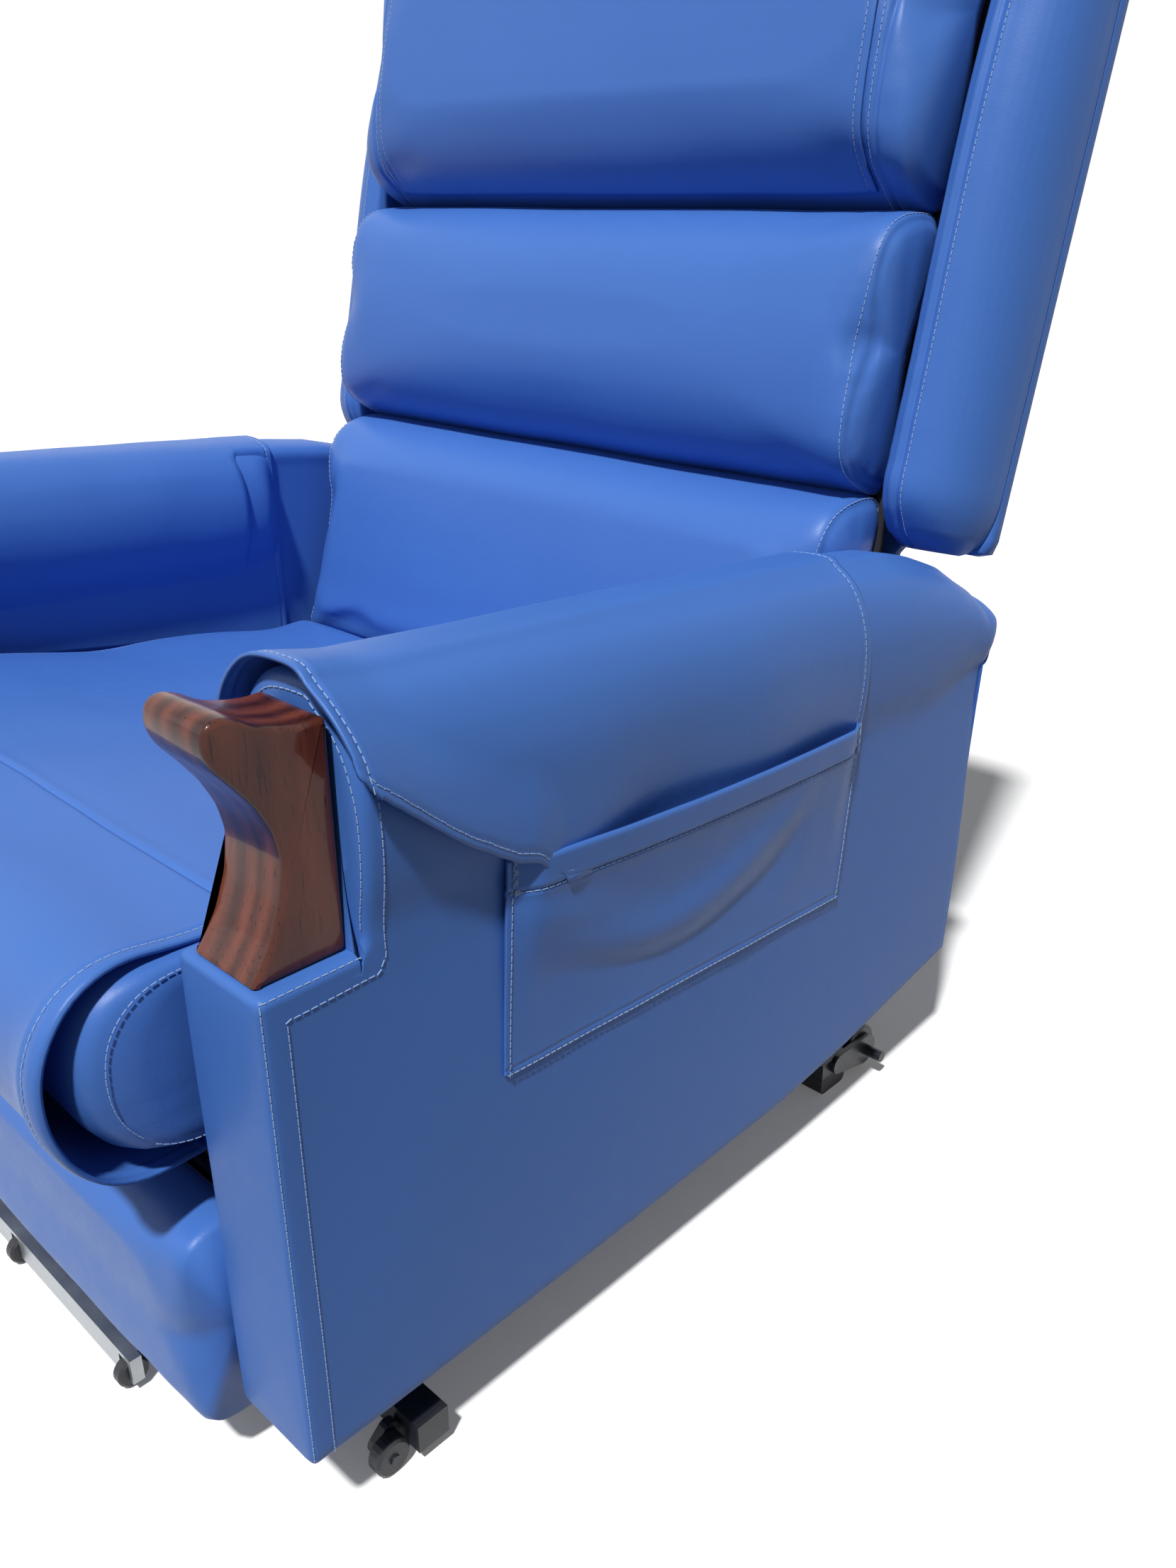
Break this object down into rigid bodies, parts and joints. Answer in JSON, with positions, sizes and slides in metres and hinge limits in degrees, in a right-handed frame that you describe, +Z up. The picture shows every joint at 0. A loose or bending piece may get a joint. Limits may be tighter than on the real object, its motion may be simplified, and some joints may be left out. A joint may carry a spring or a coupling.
{
  "type": "patient recliner chair",
  "caption": "wide ward recliner: waterfall pillow back, capped rolled arms with wooden hand grips and side pockets, swinging legrest, riser base on small wheels",
  "frame": {"origin": "centre of the bounding box on the floor", "axes": "+X towards the sitter's left, -Y towards the sitter's front, +Z up"},
  "size_m": [0.9908, 1.0836, 1.1715],
  "materials": {
    "pad": "satin",
    "cover": "satin",
    "grip": "gloss",
    "steel": "satin",
    "zinc": "satin",
    "plastic": "satin",
    "rubber": "matte",
    "ply": "matte"
  },
  "bodies": {
    "base": {"base_front_tube": "steel", "base_tube_cap_left": "plastic", "base_tube_cap_right": "plastic", "front_wheel_bracket_left": "steel", "front_wheel_bracket_right": "steel", "base_rear_bar": "steel", "rear_foot_left": "rubber", "rear_foot_right": "rubber", "rear_wheel_bracket_left": "steel", "rear_wheel_bracket_right": "steel", "base_side_bar_left": "steel", "base_side_bar_right": "steel", "base_front_bar": "zinc", "motor_stand": "steel", "lift_motor": "plastic", "power_unit": "plastic"},
    "lift_arms": {"lift_shaft": "steel", "lift_arm_left": "steel", "lift_arm_right": "steel"},
    "lift_rod": {"lift_rod": "zinc"},
    "chassis": {"chassis_rail_left": "steel", "chassis_rail_right": "steel", "chassis_cross_front": "steel", "chassis_cross_rear": "steel", "seat_deck": "ply", "seat_cushion": "pad", "seat_cover": "cover", "side_panel_left": "pad", "side_panel_right": "pad", "arm_roll_left": "pad", "arm_roll_right": "pad", "arm_cap_left": "cover", "arm_cap_right": "cover", "side_pocket_left": "cover", "side_pocket_right": "cover", "knuckle_left": "grip", "knuckle_right": "grip"},
    "backrest": {"back_shaft": "steel", "back_upright_left": "ply", "back_upright_right": "ply", "wing_left": "pad", "wing_right": "pad", "back_board": "pad", "lumbar_pillow": "pad", "middle_pillow": "pad", "head_pillow": "pad", "head_cover": "cover"},
    "legrest": {"legrest_shaft": "steel", "legrest_bracket_left": "steel", "legrest_bracket_right": "steel", "legrest_pad": "pad"},
    "front_wheel_left": {"front_wheel_left": "plastic"},
    "front_wheel_right": {"front_wheel_right": "plastic"},
    "rear_wheel_left": {"rear_wheel_left": "plastic"},
    "rear_wheel_right": {"rear_wheel_right": "plastic"},
    "bar_wheel_outer_left": {"bar_wheel_outer_left": "plastic"},
    "bar_wheel_inner_left": {"bar_wheel_inner_left": "plastic"},
    "bar_wheel_inner_right": {"bar_wheel_inner_right": "plastic"},
    "bar_wheel_outer_right": {"bar_wheel_outer_right": "plastic"}
  },
  "joints": [
    {"name": "lift", "type": "hinge", "parent": "base", "child": "lift_arms", "pos_m": [0, 0.17195, 0.076], "axis": [-1, 0, 0], "range_deg": [0, 40]},
    {"name": "tilt", "type": "hinge", "parent": "lift_arms", "child": "chassis", "pos_m": [0, -0.25805, 0.11], "axis": [1, 0, 0], "range_deg": [0, 62.2]},
    {"name": "lift_rod_slide", "type": "slide", "parent": "base", "child": "lift_rod", "axis": [0, 1, 0], "range_m": [0, 0.0519]},
    {"name": "recline", "type": "hinge", "parent": "chassis", "child": "backrest", "pos_m": [0, 0.27695, 0.235], "axis": [-1, 0, 0], "range_deg": [0, 40]},
    {"name": "legrest_swing", "type": "hinge", "parent": "chassis", "child": "legrest", "pos_m": [0, -0.39405, 0.197], "axis": [-1, 0, 0], "range_deg": [0, 85]},
    {"name": "front_wheel_left_spin", "type": "hinge", "parent": "base", "child": "front_wheel_left", "pos_m": [0.462, -0.37055, 0.0155], "axis": [1, 0, 0], "continuous": true},
    {"name": "front_wheel_right_spin", "type": "hinge", "parent": "base", "child": "front_wheel_right", "pos_m": [-0.462, -0.37055, 0.0155], "axis": [1, 0, 0], "continuous": true},
    {"name": "rear_wheel_left_spin", "type": "hinge", "parent": "base", "child": "rear_wheel_left", "pos_m": [0.43, 0.29795, 0.025], "axis": [1, 0, 0], "continuous": true},
    {"name": "rear_wheel_right_spin", "type": "hinge", "parent": "base", "child": "rear_wheel_right", "pos_m": [-0.43, 0.29795, 0.025], "axis": [1, 0, 0], "continuous": true},
    {"name": "bar_wheel_outer_left_spin", "type": "hinge", "parent": "base", "child": "bar_wheel_outer_left", "pos_m": [0.25, -0.46405, 0.0135], "axis": [1, 0, 0], "continuous": true},
    {"name": "bar_wheel_inner_left_spin", "type": "hinge", "parent": "base", "child": "bar_wheel_inner_left", "pos_m": [0.057, -0.46405, 0.0135], "axis": [1, 0, 0], "continuous": true},
    {"name": "bar_wheel_inner_right_spin", "type": "hinge", "parent": "base", "child": "bar_wheel_inner_right", "pos_m": [-0.057, -0.46405, 0.0135], "axis": [1, 0, 0], "continuous": true},
    {"name": "bar_wheel_outer_right_spin", "type": "hinge", "parent": "base", "child": "bar_wheel_outer_right", "pos_m": [-0.25, -0.46405, 0.0135], "axis": [1, 0, 0], "continuous": true}
  ],
  "couplings": [
    {"joint": "tilt", "follows": "lift", "ratio": 1.55},
    {"joint": "lift_rod_slide", "follows": "lift", "m_per_rad": 0.073486}
  ]
}
